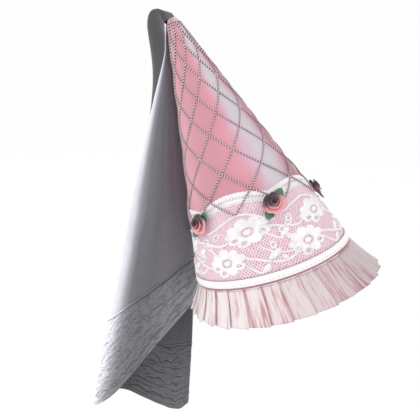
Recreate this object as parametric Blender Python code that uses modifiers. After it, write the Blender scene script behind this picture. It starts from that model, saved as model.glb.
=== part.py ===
# Tall cone hat with a lace band, sewn roses, a pleated ruffle and a veil hanging from its tip.
# Built as worn: +Z up, the wearer faces -Y, the cone leans back, the origin lies in the middle
# of the head opening. The cone and all that is sewn to it are made upright and tipped back.
import math

import bmesh
import bpy
from mathutils import Matrix, Vector

MM = 0.001

# cone
TILT_DEG = 25.0
BASE_R = 92.0 * MM
APEX_H = 319.0 * MM
TIP_SHARE = 0.065
CONE_WALL = 2.0 * MM
ROUND_STEPS = 64
GAP = 0.3 * MM

# the brim is cut on a slope, lower over the forehead than at the nape
BRIM_SHARE = 0.986
BRIM_SLOPE_SHARE = 0.0285

# cord net: rows of knots counted down the cone, the first one close to the tip
NET_COLUMNS = 8
NET_ROWS = 11
NET_FIRST_SHARE = 0.1101
NET_STEP_SHARE = 0.0613
NET_GROWTH_SHARE = 0.0008
NET_PHASE_DEG = 192.3
NET_CORD = 2.5 * MM
NET_THICK = 1.1 * MM
ROW_LEAN_SHARE = 0.053

# lace band
SCALLOPS = 5
SCALLOP_PHASE_DEG = 156.0
BAND_VALLEY_SHARE = 0.755
BAND_RISE_SHARE = 0.027
BAND_ABOVE_BRIM_SHARE = 0.0255
BAND_THICK = 1.0 * MM
BAND_STEPS = 80

# ribbon and twisted cord round the brim
RIBBON_WIDTH_SHARE = 0.0235
RIBBON_THICK = 1.4 * MM
PIPING_R = 1.3 * MM
PIPING_DROP = 1.7 * MM
PIPING_SIDES = 6

# ruffle
PLEATS = 28
RUFFLE_TUCK = 0.4 * MM
RUFFLE_TOP_DROP = 3.6 * MM
RUFFLE_DROP = 32.0 * MM
RUFFLE_DROP_FRONT = 16.0 * MM
RUFFLE_DROP_SIDES = 5.0 * MM
RUFFLE_R = 112.0 * MM
RUFFLE_R_FRONT = 2.5 * MM
RUFFLE_R_SIDES = -4.0 * MM
RUFFLE_WALL = 1.0 * MM
PLEAT_TOP = 0.9 * MM
PLEAT_BOTTOM = 2.6 * MM

# roses and their leaves
ROSE_ROW_SHARE = 0.797
ROSE_R = 11.5 * MM
ROSE_H = 10.0 * MM
ROSE_LOBES = 5
LEAF_LENGTH = 11.0 * MM
LEAF_WIDTH = 8.5 * MM
LEAF_THICK = 0.8 * MM
LEAF_START = 7.2 * MM
LEAF_CURL = 1.5 * MM
LEAF_KEEL = 0.5 * MM
LEAF_TURNS_DEG = (38.0, 215.0)
SEAT_SLACK = 0.6 * MM
# how far each rose is lifted from the lace to the top of the cords that run under it
ROSE_ON_CORDS_SHARES = (1.0, 1.0, 0.0, 1.0, 0.22)

# veil
# the cone that the fold lines below were laid round
VEIL_CONE_R = 92.0 * MM
VEIL_CONE_H = 319.0 * MM
VEIL_THICK = 1.0 * MM
BORDER_WIDTH = 110.0 * MM
# the border is widest at the near fold, one share for each fold line in the table below
BORDER_SHARES = (0.49, 0.57, 0.81, 1.15, 1.36, 1.32, 1.18, 1.07, 0.99, 1.02, 0.92)
SEAM_GAP = 0.8 * MM
VEIL_ROWS = 15
VEIL_CROWD = 1.7
BORDER_ROWS = 6
STEPS_PER_FOLD = 3

# One row for each fold line of the veil, from the near front edge round the back to the far
# front edge, each with seven places down its length in mm as x, y, z.
FOLDS = {
    "near_edge": (
        (1, 133, 266), (1, 131.6, 250), (2, 129, 230), (10, 124, 174),
        (18, 116, 94), (25, 110, 24), (28, 109.6, -76),
    ),
    "near_front": (
        (0, 133.1, 266), (-2, 131.6, 250), (-5, 129, 230), (-8, 123, 174),
        (-10, 116, 84), (-5, 111, 14), (-3, 107, -83),
    ),
    "near_side": (
        (-1.2, 133, 266), (-5, 131.3, 250), (-9, 129, 230), (-20, 127, 170),
        (-33, 128, 76), (-43, 133, -28), (-50, 140, -131),
    ),
    "near_back": (
        (-2.4, 132.8, 266.5), (-7, 131.5, 249), (-11, 131, 230), (-19, 141, 172),
        (-31, 162, 57), (-40, 181, -72), (-44, 198, -210),
    ),
    "near_fold": (
        (-3.5, 133, 267), (-5.5, 132.6, 249), (-6, 134.5, 229), (-9, 148, 178),
        (-15, 184, 42), (-20, 219, -117), (-20, 252, -263),
    ),
    "back_tuck": (
        (-2, 135.6, 268), (1, 136.6, 260), (5, 137, 232), (5, 150, 170),
        (4, 182, 44), (4, 214, -106), (6, 240, -252),
    ),
    "tab_fold": (
        (1.5, 135.8, 270), (12, 153, 283), (16.5, 168, 266), (24, 166.5, 190),
        (26, 192, 50), (24, 224, -106), (26, 250, -262),
    ),
    "far_back": (
        (3.2, 134.9, 271), (15, 146, 282), (24, 158, 262), (34, 160, 184),
        (44, 186, 40), (52, 216, -124), (59, 243, -282),
    ),
    "far_side": (
        (4.6, 133.8, 271), (18, 141, 280), (29, 149, 258), (42, 149, 176),
        (56, 164, 30), (64, 180, -136), (68, 194, -299),
    ),
    "far_front": (
        (5.6, 132.3, 271), (19, 136, 276), (30, 140, 252), (42, 138, 170),
        (53, 143, 30), (58, 149, -136), (59, 158, -291),
    ),
    "far_edge": (
        (6.4, 130.6, 270), (18, 131, 271), (28, 130, 246), (36, 126, 164),
        (42, 124, 40), (45, 125.5, -116), (46, 134.5, -265),
    ),
}

BACK = Matrix.Rotation(math.radians(-TILT_DEG), 4, "X")
SLANT = math.hypot(BASE_R, APEX_H)
HALF_ANGLE = math.atan2(BASE_R, APEX_H)


def clear_scene():
    for old in list(bpy.data.objects):
        bpy.data.objects.remove(old, do_unlink=True)


def collection(name):
    made = bpy.data.collections.new(name)
    bpy.context.scene.collection.children.link(made)
    return made


def paint(name, color, rough, sheen=0.0):
    made = bpy.data.materials.new(name)
    made.use_nodes = True
    shader = made.node_tree.nodes["Principled BSDF"]
    shader.inputs["Base Color"].default_value = (*color, 1.0)
    shader.inputs["Roughness"].default_value = rough
    shader.inputs["Sheen Weight"].default_value = sheen
    return made


def place(name, mesh_maker, material, smooth=True, tipped=True):
    mesh = bpy.data.meshes.new(name)
    work = bmesh.new()
    mesh_maker(work)
    bmesh.ops.recalc_face_normals(work, faces=work.faces)
    for face in work.faces:
        face.smooth = smooth
    work.to_mesh(mesh)
    work.free()
    node = bpy.data.objects.new(name, mesh)
    HAT.objects.link(node)
    node.data.materials.append(material)
    if tipped:
        node.matrix_world = BACK
    return node


def ringed(name, corners_at, steps, phase, material):
    # a closed ring from its cross section, which corners_at gives for each turn round the cone
    def make(work):
        rings = []
        for step in range(steps):
            azimuth = math.tau * step / steps + phase
            rings.append([work.verts.new(corner) for corner in corners_at(azimuth)])
        for i in range(steps):
            one = rings[i]
            two = rings[(i + 1) % steps]
            for j in range(len(one)):
                k = (j + 1) % len(one)
                work.faces.new((one[j], two[j], two[k], one[k]))

    return place(name, make, material)


def thicken(node, thickness, offset):
    shell = node.modifiers.new("wall", "SOLIDIFY")
    shell.thickness = thickness
    shell.offset = offset
    shell.use_even_offset = True
    shell.use_quality_normals = True
    shell.use_rim = True


def lean(share, azimuth):
    return share * (1.0 + ROW_LEAN_SHARE * math.cos(azimuth))


def on_cone(share, azimuth, lift):
    # a point over the cone, lift is measured square to the cone's slope
    radius = BASE_R * share + lift * math.cos(HALF_ANGLE)
    height = APEX_H * (1.0 - share) + lift * math.sin(HALF_ANGLE)
    return Vector((radius * math.cos(azimuth), radius * math.sin(azimuth), height))


def brim(azimuth):
    return BRIM_SHARE - BRIM_SLOPE_SHARE * math.sin(azimuth)


def cone_shell():
    def corners(azimuth):
        low = brim(azimuth)
        return (
            on_cone(TIP_SHARE, azimuth, 0.0),
            on_cone(low, azimuth, 0.0),
            on_cone(low, azimuth, -CONE_WALL),
            on_cone(TIP_SHARE, azimuth, -CONE_WALL),
        )

    return ringed("cone_shell", corners, ROUND_STEPS, 0.0, SATIN)


def net_share(row):
    return NET_FIRST_SHARE + NET_STEP_SHARE * row + NET_GROWTH_SHARE * row * row


def net_flat(work):
    # the net laid out flat as on a cut pattern, then each diamond is opened
    fan = math.sin(HALF_ANGLE)
    half = math.pi / NET_COLUMNS

    def knot(row, column):
        return net_share(row), column * half

    def flat(share, turn):
        reach = share * SLANT
        return work.verts.new((reach * math.cos(turn * fan), reach * math.sin(turn * fan), 0.0))

    made = {}

    def vertex(key):
        if key not in made:
            made[key] = flat(*key)
        return made[key]

    def middle(a, b):
        return (a[0] + b[0]) / 2.0, (a[1] + b[1]) / 2.0

    for row in range(NET_ROWS - 2):
        for column in range(NET_COLUMNS):
            at = 2 * column + row % 2
            ring = [knot(row, at), knot(row + 1, at - 1), knot(row + 2, at), knot(row + 1, at + 1)]
            loop = []
            for i, corner in enumerate(ring):
                loop += [vertex(corner), vertex(middle(corner, ring[(i + 1) % 4]))]
            work.faces.new(loop)
    work.normal_update()
    bmesh.ops.inset_individual(work, faces=list(work.faces), thickness=NET_CORD / 2.0)
    inner = [face for face in work.faces if len(face.verts) == 8]
    bmesh.ops.delete(work, geom=inner, context="FACES")


def cord_net():
    fan = math.sin(HALF_ANGLE)
    spread = 1.0 / math.cos(math.pi / (4 * NET_COLUMNS))
    over_band = BAND_THICK + 2.0 * GAP
    last = net_share(NET_ROWS - 2)
    before = net_share(NET_ROWS - 3)

    def make(work):
        net_flat(work)
        for vert in work.verts:
            reach = math.hypot(vert.co.x, vert.co.y)
            azimuth = math.atan2(vert.co.y, vert.co.x) / fan + math.radians(NET_PHASE_DEG)
            row_share = reach / SLANT
            climb = min(max((row_share - before) / (last - before), 0.0), 1.0)
            lift = GAP + (over_band - GAP) * climb
            place_at = on_cone(lean(row_share, azimuth), azimuth, lift)
            vert.co = (place_at.x * spread, place_at.y * spread, place_at.z)
        bmesh.ops.remove_doubles(work, verts=work.verts, dist=0.00005)

    node = place("cord_net", make, CORD, smooth=False)
    thicken(node, NET_THICK, 1.0)
    return node


def band_top(azimuth):
    turn = azimuth - math.radians(SCALLOP_PHASE_DEG)
    arch = abs(math.sin(turn * SCALLOPS / 2.0))
    return lean(BAND_VALLEY_SHARE - BAND_RISE_SHARE * arch, azimuth)


def lace_band():
    def corners(azimuth):
        top = band_top(azimuth)
        low = brim(azimuth) - BAND_ABOVE_BRIM_SHARE
        return (
            on_cone(top, azimuth, GAP),
            on_cone(low, azimuth, GAP),
            on_cone(low, azimuth, GAP + BAND_THICK),
            on_cone(top, azimuth, GAP + BAND_THICK),
        )

    return ringed("lace_band", corners, BAND_STEPS, math.radians(SCALLOP_PHASE_DEG), LACE)


def heading_ribbon():
    def corners(azimuth):
        low = brim(azimuth)
        top = low - RIBBON_WIDTH_SHARE
        return (
            on_cone(top, azimuth, GAP + RIBBON_THICK),
            on_cone(low, azimuth, GAP + RIBBON_THICK),
            on_cone(low, azimuth, GAP),
            on_cone(top, azimuth, GAP),
        )

    return ringed("heading_ribbon", corners, ROUND_STEPS, 0.0, RIBBON)


def rope_piping():
    def corners(azimuth):
        edge = on_cone(brim(azimuth), azimuth, 0.0)
        away = Vector((math.cos(azimuth), math.sin(azimuth), 0.0))
        rise = Vector((0.0, 0.0, 1.0))
        section = []
        for side in range(PIPING_SIDES):
            turn = math.tau * side / PIPING_SIDES
            reach = away * math.cos(turn) + rise * math.sin(turn)
            section.append(edge - rise * PIPING_DROP + reach * PIPING_R)
        return section

    return ringed("rope_piping", corners, ROUND_STEPS, 0.0, ROPE)


def pleated_ruffle():
    # place along one pleat, how far it stands out there: a sharp fold, a return and a flat face
    pleat = ((0.0, 1.0), (0.16, -1.0), (0.5, -0.25), (0.78, 0.45))
    levels = (0.0, 0.45, 1.0)

    def make(work):
        rings = []
        for number in range(PLEATS):
            for share, stand in pleat:
                azimuth = math.tau * (number + share) / PLEATS
                front = -math.sin(azimuth)
                sides = math.cos(azimuth) ** 2
                low_r = RUFFLE_R + RUFFLE_R_FRONT * front + RUFFLE_R_SIDES * sides
                drop = RUFFLE_DROP + RUFFLE_DROP_FRONT * front + RUFFLE_DROP_SIDES * sides
                top_r = BASE_R * brim(azimuth) - RUFFLE_TUCK
                top_h = APEX_H * (1.0 - brim(azimuth)) - RUFFLE_TOP_DROP
                column = []
                for level in levels:
                    wave = PLEAT_TOP + (PLEAT_BOTTOM - PLEAT_TOP) * level
                    radius = top_r + (low_r - top_r) * level + stand * wave
                    height = top_h - (drop + top_h) * level
                    at = (radius * math.cos(azimuth), radius * math.sin(azimuth), height)
                    column.append(work.verts.new(at))
                rings.append(column)
        count = len(rings)
        for i in range(count):
            one = rings[i]
            two = rings[(i + 1) % count]
            for j in range(len(levels) - 1):
                work.faces.new((one[j], one[j + 1], two[j + 1], two[j]))

    node = place("pleated_ruffle", make, FRILL, smooth=False)
    thicken(node, RUFFLE_WALL, 0.0)
    return node


def seat(azimuth_deg, row_share, lift):
    # the frame of a thing sewn on the cone: its z square to the cone, its y up the slope
    azimuth = math.radians(azimuth_deg)
    at = on_cone(lean(row_share, azimuth), azimuth, lift)
    away = Vector((math.cos(azimuth), math.sin(azimuth), 0.0))
    out = away * math.cos(HALF_ANGLE) + Vector((0.0, 0.0, math.sin(HALF_ANGLE)))
    side = Vector((-away.y, away.x, 0.0))
    up = out.cross(side)
    frame = Matrix((side, up, out)).transposed().to_4x4()
    frame.translation = at
    return BACK @ frame


def roses_and_leaves():
    # radius share, height share and depth of the lobes for each ring of a rose, foot to heart
    rings = (
        (0.56, 0.0, 0.0),
        (0.96, 0.34, 0.07),
        (1.0, 0.56, 0.1),
        (0.72, 0.78, 0.06),
        (0.5, 0.66, 0.03),
        (0.3, 1.0, 0.0),
    )
    around = ROSE_LOBES * 3
    on_lace = BAND_THICK + 2.0 * GAP + SEAT_SLACK
    on_net = on_lace + NET_THICK + GAP

    def rose(work):
        rows = []
        for number, (reach, height, lobe) in enumerate(rings):
            row = []
            for step in range(around):
                turn = math.tau * (step + 0.5 * number) / around
                wave = 1.0 + lobe * math.cos(ROSE_LOBES * turn)
                radius = ROSE_R * reach * wave
                at = (radius * math.cos(turn), radius * math.sin(turn), ROSE_H * height)
                row.append(work.verts.new(at))
            rows.append(row)
        for low, high in zip(rows, rows[1:]):
            for i in range(around):
                j = (i + 1) % around
                work.faces.new((low[i], low[j], high[i]))
                work.faces.new((low[j], high[j], high[i]))
        work.faces.new(rows[0])
        work.faces.new(rows[-1])

    def leaf(work):
        # share of the length, share of the width, share of the curl
        places = (
            (0.0, 0.18, 0.0),
            (0.3, 0.85, 0.07),
            (0.62, 1.0, 0.33),
            (0.88, 0.55, 0.73),
            (1.0, 0.12, 1.0),
        )
        rows = []
        for along, wide, curl in places:
            half = LEAF_WIDTH * wide / 2.0
            x = LEAF_START + LEAF_LENGTH * along
            rise = LEAF_CURL * curl
            across = ((-half, LEAF_KEEL), (0.0, 0.0), (half, LEAF_KEEL))
            rows.append([work.verts.new((x, y, rise + keel)) for y, keel in across])
        for one, two in zip(rows, rows[1:]):
            for j in range(2):
                work.faces.new((one[j], two[j], two[j + 1], one[j + 1]))

    for number in range(SCALLOPS):
        azimuth = SCALLOP_PHASE_DEG + 360.0 * number / SCALLOPS
        lift = on_lace + (on_net - on_lace) * ROSE_ON_CORDS_SHARES[number]
        bloom = place("rose_%d" % (number + 1), rose, PETAL)
        bloom.matrix_world = seat(azimuth, ROSE_ROW_SHARE, lift)
        for letter, turn in zip("ab", LEAF_TURNS_DEG):
            blade = place("leaf_%d%s" % (number + 1, letter), leaf, GREEN)
            thicken(blade, LEAF_THICK, 1.0)
            spin = Matrix.Rotation(math.radians(turn), 4, "Z")
            blade.matrix_world = seat(azimuth, ROSE_ROW_SHARE, lift) @ spin


def between(points, place_in):
    # smooth curve through the points, place_in runs from 0 to the number of spans
    last = len(points) - 1
    i = min(int(place_in), last - 1)
    t = place_in - i
    p1 = points[i]
    p2 = points[i + 1]
    p0 = points[i - 1] if i > 0 else p1 - (p2 - p1)
    p3 = points[i + 2] if i + 2 <= last else p2 + (p2 - p1)
    slope = (p2 - p0) * t
    bend = (p0 * 2.0 - p1 * 5.0 + p2 * 4.0 - p3) * t ** 2
    twist = (p1 * 3.0 - p0 - p2 * 3.0 + p3) * t ** 3
    return p1 + (slope + bend + twist) / 2.0


def fold_line(points):
    # the smooth line through the points, with the length run at each of its steps
    fine = [between(points, (len(points) - 1) * i / 240.0) for i in range(241)]
    run = [0.0]
    for a, b in zip(fine, fine[1:]):
        run.append(run[-1] + (b - a).length)
    return fine, run


def at_length(line, wanted):
    fine, run = line
    for i in range(len(run) - 1):
        if run[i + 1] >= wanted:
            t = (wanted - run[i]) / max(run[i + 1] - run[i], 1e-9)
            return fine[i].lerp(fine[i + 1], t)
    return fine[-1]


def veil_place(point):
    # a fold line's point keeps its place on the cone if the cone's size is changed
    at = BACK.inverted() @ (Vector(point) * MM)
    wider = BASE_R / VEIL_CONE_R
    taller = APEX_H / VEIL_CONE_H
    return BACK @ Vector((at.x * wider, at.y * wider, at.z * taller))


def veil_columns():
    # the veil's fold lines closely spaced, each with the width of the border there
    guides = [[veil_place(point) for point in row] for row in FOLDS.values()]
    spans = len(guides) - 1
    columns = []
    for step in range(spans * STEPS_PER_FOLD + 1):
        where = step / STEPS_PER_FOLD
        stations = range(len(guides[0]))
        line = fold_line([between([g[k] for g in guides], where) for k in stations])
        columns.append((line, BORDER_WIDTH * between(BORDER_SHARES, where)))
    return columns


def veil_part(name, columns, is_border, rows, crowd, material):
    def make(work):
        hung = []
        for line, width in columns:
            total = line[1][-1]
            low = total - width + SEAM_GAP if is_border else 0.0
            high = total if is_border else total - width
            shares = [(i / rows) ** crowd for i in range(rows + 1)]
            places = [at_length(line, low + (high - low) * share) for share in shares]
            hung.append([work.verts.new(at) for at in places])
        for one, two in zip(hung, hung[1:]):
            for j in range(rows):
                work.faces.new((one[j], one[j + 1], two[j + 1], two[j]))

    node = place(name, make, material, tipped=False)
    thicken(node, VEIL_THICK, 0.0)
    return node


def veil():
    columns = veil_columns()
    veil_part("veil_cloth", columns, False, VEIL_ROWS, VEIL_CROWD, VOILE)
    veil_part("veil_border", columns, True, BORDER_ROWS, 1.0, VEIL_LACE)


clear_scene()
HAT = collection("cone_hat_with_veil")
SATIN = paint("pink_satin", (0.73, 0.34, 0.4), 0.45, 0.3)
CORD = paint("silver_pink_cord", (0.55, 0.42, 0.43), 0.5)
LACE = paint("white_lace_on_pink", (0.82, 0.7, 0.75), 0.8)
RIBBON = paint("white_ribbon", (0.9, 0.88, 0.88), 0.6)
ROPE = paint("rose_rope", (0.45, 0.2, 0.23), 0.6)
FRILL = paint("rose_white_satin", (0.78, 0.6, 0.61), 0.45, 0.3)
PETAL = paint("rose_petal", (0.7, 0.32, 0.35), 0.6)
GREEN = paint("leaf_green", (0.08, 0.22, 0.15), 0.6)
VOILE = paint("white_voile", (0.85, 0.84, 0.88), 0.8)
VEIL_LACE = paint("white_veil_lace", (0.8, 0.79, 0.83), 0.85)
cone_shell()
cord_net()
lace_band()
heading_ribbon()
rope_piping()
pleated_ruffle()
roses_and_leaves()
veil()
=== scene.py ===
import math

import bmesh
import bpy
from mathutils import Matrix, Vector, noise


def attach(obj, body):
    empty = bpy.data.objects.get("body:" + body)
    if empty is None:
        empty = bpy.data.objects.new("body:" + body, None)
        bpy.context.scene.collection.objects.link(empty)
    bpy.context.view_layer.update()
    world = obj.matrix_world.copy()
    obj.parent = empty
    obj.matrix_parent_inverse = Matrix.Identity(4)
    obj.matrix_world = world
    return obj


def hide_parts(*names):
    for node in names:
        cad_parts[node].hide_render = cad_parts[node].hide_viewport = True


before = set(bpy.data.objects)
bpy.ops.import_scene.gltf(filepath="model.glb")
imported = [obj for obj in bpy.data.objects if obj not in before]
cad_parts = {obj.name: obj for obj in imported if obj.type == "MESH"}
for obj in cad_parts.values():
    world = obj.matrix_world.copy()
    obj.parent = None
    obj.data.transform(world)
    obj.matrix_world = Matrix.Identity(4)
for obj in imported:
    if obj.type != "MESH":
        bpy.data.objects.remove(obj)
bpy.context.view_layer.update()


# Satin cone. Rose satin stretched over a stiff cone and sewn up the back, with the cords
# of the net pulling it into shallow cushions. Made upright round its own axis, then tipped back.
MM = 0.001
CONE_R = 92 * MM
CONE_H = 319 * MM
TIP_SHARE = 0.065
TIP_DOME = 3.2 * MM
SATIN_WALL = 2.0 * MM
SATIN_ROWS = 120
SATIN_TURNS = 176
SATIN_PUFF = 0.4 * MM
BACK_SEAM_HALF = 1.2 * MM
BACK_SEAM_DEPTH = 0.5 * MM
BRIM = 0.986
BRIM_SLOPE = 0.0285
SLANT = math.hypot(CONE_R, CONE_H)
SLOPE = math.atan2(CONE_R, CONE_H)
TILT = math.radians(25)
BACK = Matrix.Rotation(-TILT, 4, "X")
# rows lie a little lower on one side, as the hat was sewn
ROW_LEAN = 0.053
# the net's crossings as shares down the cone: the first row, the step and how the step grows
NET_FIRST = 0.1101
NET_STEP = 0.0613
NET_GROWTH = 0.0008
NET_ROWS = 10
NET_TURN = math.radians(192.3)
NET_CORDS = 8
NET_COLUMN = math.pi / NET_CORDS


def colour(hex_code):
    # an sRGB hex colour as linear light
    parts = [int(hex_code[i : i + 2], 16) / 255 for i in (1, 3, 5)]
    return (*[c / 12.92 if c <= 0.04045 else ((c + 0.055) / 1.055) ** 2.4 for c in parts], 1)


def add(tree, kind, inputs=None, stops=None, **settings):
    # one node with its settings, its sockets' values or links, and a ramp's stops
    made = tree.nodes.new("ShaderNode" + kind)
    for key, value in settings.items():
        setattr(made, key, value)
    for key, value in (inputs or {}).items():
        if isinstance(value, bpy.types.NodeSocket):
            tree.links.new(value, made.inputs[key])
        else:
            made.inputs[key].default_value = value
    if stops:
        ramp = made.color_ramp
        while len(ramp.elements) < len(stops):
            ramp.elements.new(0.5)
        for element, (position, shade) in zip(ramp.elements, stops):
            element.position = position
            element.color = colour(shade)
    return made


def start_material(name, **sockets):
    made = bpy.data.materials.new(name)
    made.use_nodes = True
    shader = made.node_tree.nodes["Principled BSDF"]
    for key, value in sockets.items():
        shader.inputs[key.replace("_", " ")].default_value = value
    return made, made.node_tree, shader


def dress(shader, petal_tone_and_shade, relief):
    # joins a material's colours and relief to its shader
    tree = shader.id_data
    tree.links.new(petal_tone_and_shade, shader.inputs["Base Color"])
    tree.links.new(relief.outputs["Normal"], shader.inputs["Normal"])


def on_cone(share, turn, lift):
    # a point over the upright cone, lift is measured square to its slope
    radius = CONE_R * share + lift * math.cos(SLOPE)
    height = CONE_H * (1 - share) + lift * math.sin(SLOPE)
    return Vector((radius * math.cos(turn), radius * math.sin(turn), height))


def off_cone(turn):
    away = Vector((math.cos(turn), math.sin(turn), 0))
    return away * math.cos(SLOPE) + Vector((0, 0, math.sin(SLOPE)))


def lean(share, turn):
    return share * (1 + ROW_LEAN * math.cos(turn))


def brim(turn):
    # the brim is cut on a slope, lower in front than behind
    return BRIM - BRIM_SLOPE * math.sin(turn)


def net_share(row):
    return NET_FIRST + NET_STEP * row + NET_GROWTH * row * row


def net_row(share, turn):
    gone = share / (1 + ROW_LEAN * math.cos(turn)) - NET_FIRST
    inside = NET_STEP * NET_STEP + 4 * NET_GROWTH * gone
    return (math.sqrt(max(inside, 0)) - NET_STEP) / (2 * NET_GROWTH)


def finish(name, work, material, nodes=(), tipped=True, outward=True):
    # the made mesh as a piece of the hat, in place, standing for its CAD nodes
    if outward:
        bmesh.ops.recalc_face_normals(work, faces=work.faces)
    if tipped:
        bmesh.ops.transform(work, matrix=BACK, verts=work.verts)
    for face in work.faces:
        face.smooth = True
    mesh = bpy.data.meshes.new(name)
    work.to_mesh(mesh)
    work.free()
    made = bpy.data.objects.new(name, mesh)
    bpy.context.scene.collection.objects.link(made)
    mesh.materials.append(material)
    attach(made, "root")
    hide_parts(*nodes)
    return made


def wall(piece, thickness, offset):
    shell = piece.modifiers.new("wall", "SOLIDIFY")
    shell.thickness = thickness
    shell.offset = offset
    shell.use_even_offset = False


# Satin: polyester satin, woven and glazed. Its long floats, drawn at 1.1 mm so that they show,
# give a soft streaky gloss. Round the cone the rose and coral colour turns to a painted pearl
# sheen, then past it to painted shade in dark red-brown, with a paler painted sheen on the other
# side.
satin, tree, shader = start_material(
    "rose_satin_painted_sheen_and_shade", Roughness=0.42, Sheen_Weight=0.25, Sheen_Roughness=0.4
)
place = add(tree, "TexCoord").outputs["Object"]
upright = add(tree, "Mapping", {"Vector": place, "Rotation": (TILT, 0, 0)}).outputs["Vector"]
axes = add(tree, "SeparateXYZ", {"Vector": upright})
around = add(tree, "Math", {0: axes.outputs["Y"], 1: axes.outputs["X"]}, operation="ARCTAN2")
around = add(tree, "Math", {0: around.outputs[0], 1: math.tau, 2: 0.0}, operation="WRAP")
patches = add(tree, "TexNoise", {"Vector": upright, "Scale": 22.0, "Detail": 2.0})
drift = add(tree, "Math", {0: patches.outputs["Fac"], 1: 0.5, 2: -0.25}, operation="MULTIPLY_ADD")
swung = add(tree, "Math", {0: around.outputs[0], 1: drift.outputs[0]}, operation="ADD")
turned = add(tree, "Math", {0: swung.outputs[0], 1: 1 / math.tau}, operation="MULTIPLY")
# painted sheen and shade by the turn round the cone: rose and coral, a pearl painted highlight,
# then painted shade in dark red-brown, and a paler painted sheen on the other side
painted_sheen_and_shade = add(
    tree,
    "ValToRGB",
    {"Fac": turned.outputs[0]},
    stops=(
        (0.00, "#d6b4c0"),
        (0.03, "#d4c4cc"),
        (0.12, "#dd95a5"),
        (0.30, "#e3a1b0"),
        (0.40, "#dd9fae"),
        (0.45, "#cc8f9c"),
        (0.54, "#cd8e9b"),
        (0.585, "#d8919e"),
        (0.612, "#d99aa8"),
        (0.637, "#d6b1c6"),
        (0.66, "#cfc6cd"),
        (0.70, "#cac4c9"),
        (0.728, "#c8aabb"),
        (0.758, "#ab6978"),
        (0.83, "#a35c6a"),
        (0.92, "#d9a3b4"),
        (1.00, "#d6b4c0"),
    ),
)
threads = add(tree, "Mapping", {"Vector": upright, "Scale": (900, 900, 60)}).outputs["Vector"]
floats = add(tree, "TexNoise", {"Vector": threads, "Scale": 1.0, "Detail": 1.0})
relief = add(tree, "Bump", {"Height": floats.outputs["Fac"], "Strength": 0.12, "Distance": 0.0004})
dress(shader, painted_sheen_and_shade.outputs["Color"], relief)

work = bmesh.new()
profile = []
for row in range(SATIN_ROWS + 1):
    share = 1 - (1 - TIP_SHARE) * row / SATIN_ROWS
    profile.append((CONE_R * share, CONE_H * (1 - share)))
tip_r, tip_z = profile[-1]
for step in (0.35, 0.7, 1.0):
    bend = step * math.pi / 2
    profile.append((tip_r * math.cos(bend), tip_z + TIP_DOME * math.sin(bend)))
line = [work.verts.new((r, 0, z)) for r, z in profile]
ribs = [work.edges.new(pair) for pair in zip(line, line[1:])]
bmesh.ops.spin(
    work,
    geom=line + ribs,
    axis=(0, 0, 1),
    cent=(0, 0, 0),
    angle=math.tau,
    steps=SATIN_TURNS,
    use_merge=True,
)
bmesh.ops.remove_doubles(work, verts=work.verts, dist=0.00001)
for vert in work.verts:
    turn = math.atan2(vert.co.y, vert.co.x)
    share = 1 - vert.co.z / CONE_H
    if share < TIP_SHARE:
        continue
    share = TIP_SHARE + (share - TIP_SHARE) * (brim(turn) - TIP_SHARE) / (1 - TIP_SHARE)
    vert.co = on_cone(share, turn, 0)
    row = net_row(share, turn)
    column = (turn - NET_TURN) / NET_COLUMN
    cushion = math.sin(math.pi * (row + column) / 2) * math.sin(math.pi * (row - column) / 2)
    puff = SATIN_PUFF * abs(cushion) ** 0.7 * min(1, share * 3)
    seam = math.exp(-(((turn - math.pi / 2) * CONE_R * share / BACK_SEAM_HALF) ** 2))
    vert.co += off_cone(turn) * (puff - BACK_SEAM_DEPTH * seam)
cone = finish("satin_cone", work, satin, ["cone_shell"])
wall(cone, SATIN_WALL, -1)


# Cord net. Rayon cord, a silver and a dull rose ply twisted, laid in two sets of slanting runs
# that pass over and under each other, caught down at each crossing and on the lace at the foot.
CORD_R = 1.1 * MM
CORD_PITCH = 3.4 * MM
CORD_LIFT = 0.6 * MM
CORD_OVER = 0.2 * MM
CORD_OVER_LACE = 0.6 * MM
CORD_BEGINS = -7
ROW_STEPS = 12
BAND_THICK = 1.0 * MM
# metres to one turn of the plies, so long that the cord lies untwisted
UNTWISTED = 1.0


def cord_material(name, groove_shade, crest):
    # rayon: each ply is painted lighter on its crest as a painted highlight, with painted shade in
    # the grooves between the plies
    made, tree, shader = start_material(name, Roughness=0.5, Sheen_Weight=0.3)
    ply_tone_and_shade = add(tree, "Attribute", attribute_name="ply_tone_and_shade")
    place = add(tree, "TexCoord").outputs["Object"]
    speck = add(tree, "TexNoise", {"Vector": place, "Scale": 900.0, "Detail": 1.0})
    specks = {0: speck.outputs["Fac"], 1: 0.3, 2: -0.15}
    spread = add(tree, "Math", specks, operation="MULTIPLY_ADD")
    mixed = add(tree, "Math", {0: ply_tone_and_shade.outputs["Fac"], 1: spread.outputs[0]}, operation="ADD")
    tint = add(tree, "ValToRGB", {"Fac": mixed.outputs[0]}, stops=((0.3, groove_shade), (0.8, crest)))
    fuzz = {"Height": speck.outputs["Fac"], "Strength": 0.3, "Distance": 0.0002}
    relief = add(tree, "Bump", fuzz)
    dress(shader, tint.outputs["Color"], relief)
    return made


def bend_grid(work, columns, rows, bend):
    # a new grid, bend takes a point with its column and row and gives its place and its UV
    layer = work.loops.layers.uv.get("UVMap") or work.loops.layers.uv.new("UVMap")
    grid = bmesh.ops.create_grid(work, x_segments=columns, y_segments=rows, size=1)["verts"]
    where = {}
    for vert in grid:
        column = round((vert.co.x + 1) / 2 * columns)
        row = round((1 - vert.co.y) / 2 * rows)
        vert.co, where[vert] = bend(vert, column, row)
    for face in {face for vert in grid for face in vert.link_faces}:
        for loop in face.loops:
            loop[layer].uv = where[loop.vert]
    return grid


def run_along(places):
    # how far along the line each of its places lies
    run = [0.0]
    for a, b in zip(places, places[1:]):
        run.append(run[-1] + (b - a).length)
    return run


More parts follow.
